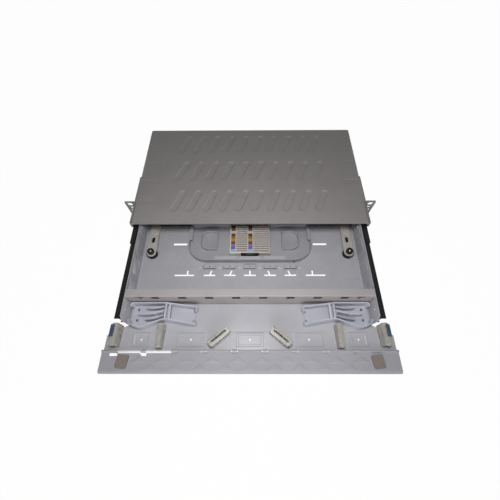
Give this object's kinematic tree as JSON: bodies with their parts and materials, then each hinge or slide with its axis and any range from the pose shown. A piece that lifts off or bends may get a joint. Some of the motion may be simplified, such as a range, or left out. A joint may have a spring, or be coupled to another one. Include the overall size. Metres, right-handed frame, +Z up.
{
  "type": "sliding fibre patch panel",
  "caption": "Rack-mount fibre patch panel with a pull-out drawer on telescopic slides, a splice tray, an adapter plate and a fold-down front flap",
  "frame": {"origin": "middle of the ear slots, in the plane where the ears meet the rack", "axes": "X along the rack to the right seen from the front, Y from the front to the rear, Z up"},
  "size_m": [0.4826, 0.523, 0.0436],
  "materials": {
    "cover_paint": "fine powder coat, satin",
    "drawer_paint": "powder coat, semi-gloss",
    "rail_black": "black coat, satin",
    "steel": "plain zinc",
    "rod_chrome": "bright",
    "tray_grey": "moulded, matt",
    "comb_cream": "moulded, matt",
    "strip_colour": "printed bands",
    "black_plastic": "moulded, matt",
    "guide_grey": "moulded, matt",
    "clip_taupe": "moulded, translucent",
    "cap_blue": "moulded",
    "anchor_tan": "zinc with a tan passivation",
    "plug_rubber": "matt",
    "pad_foam": "soft pad"
  },
  "bodies": {
    "chassis": {"top_cover": "cover_paint", "base_shell": "cover_paint", "entry_plugs": "plug_rubber", "rack_ear_left": "cover_paint", "rack_ear_right": "cover_paint", "fixed_rail_left": "rail_black", "fixed_rail_right": "rail_black", "cover_screws": "steel", "ear_screws": "steel"},
    "drawer": {"drawer_tray": "drawer_paint", "adapter_plate": "drawer_paint", "hinge_knuckles": "drawer_paint", "drawer_rail_left": "rail_black", "drawer_rail_right": "rail_black", "rail_screws": "steel", "adapter_screws": "steel", "guide_screws": "steel", "clamp_studs": "steel", "hinge_rod": "rod_chrome", "splice_tray": "tray_grey", "splice_comb": "comb_cream", "colour_strips": "strip_colour", "comb_clip": "black_plastic", "strip_spacers": "black_plastic", "fan_guide_left": "guide_grey", "fan_guide_right": "guide_grey", "inner_clip_left": "clip_taupe", "inner_clip_right": "clip_taupe", "outer_clip_left": "clip_taupe", "outer_clip_right": "clip_taupe", "corner_loop_left": "clip_taupe", "corner_loop_right": "clip_taupe", "loop_cap_left": "cap_blue", "loop_cap_right": "cap_blue", "anchor_strip_left": "anchor_tan", "anchor_strip_right": "anchor_tan"},
    "carriage": {"middle_rail_left": "rail_black", "middle_rail_right": "rail_black"},
    "flap": {"front_flap": "drawer_paint", "flap_pad_left": "pad_foam", "flap_pad_right": "pad_foam"},
    "knob_left": {"clamp_knob_left": "black_plastic"},
    "knob_right": {"clamp_knob_right": "black_plastic"}
  },
  "joints": [
    {"name": "drawer_slide", "type": "slide", "parent": "chassis", "child": "drawer", "axis": [0, 1, 0], "range_m": [0, 0.225]},
    {"name": "carriage_slide", "type": "slide", "parent": "chassis", "child": "carriage", "axis": [0, 1, 0], "range_m": [0, 0.1125]},
    {"name": "flap_hinge", "type": "hinge", "parent": "drawer", "child": "flap", "pos_m": [0, -0.28, -0.0155], "axis": [-1, 0, 0], "range_deg": [0, 90]},
    {"name": "knob_left_turn", "type": "hinge", "parent": "drawer", "child": "knob_left", "pos_m": [-0.1885, -0.093, -0.008], "axis": [0, 0, 1], "range_deg": [-180, 180]},
    {"name": "knob_right_turn", "type": "hinge", "parent": "drawer", "child": "knob_right", "pos_m": [0.1885, -0.093, -0.008], "axis": [0, 0, 1], "range_deg": [-180, 180]}
  ],
  "couplings": [
    {"joint": "carriage_slide", "follows": "drawer_slide", "ratio": 0.5}
  ]
}
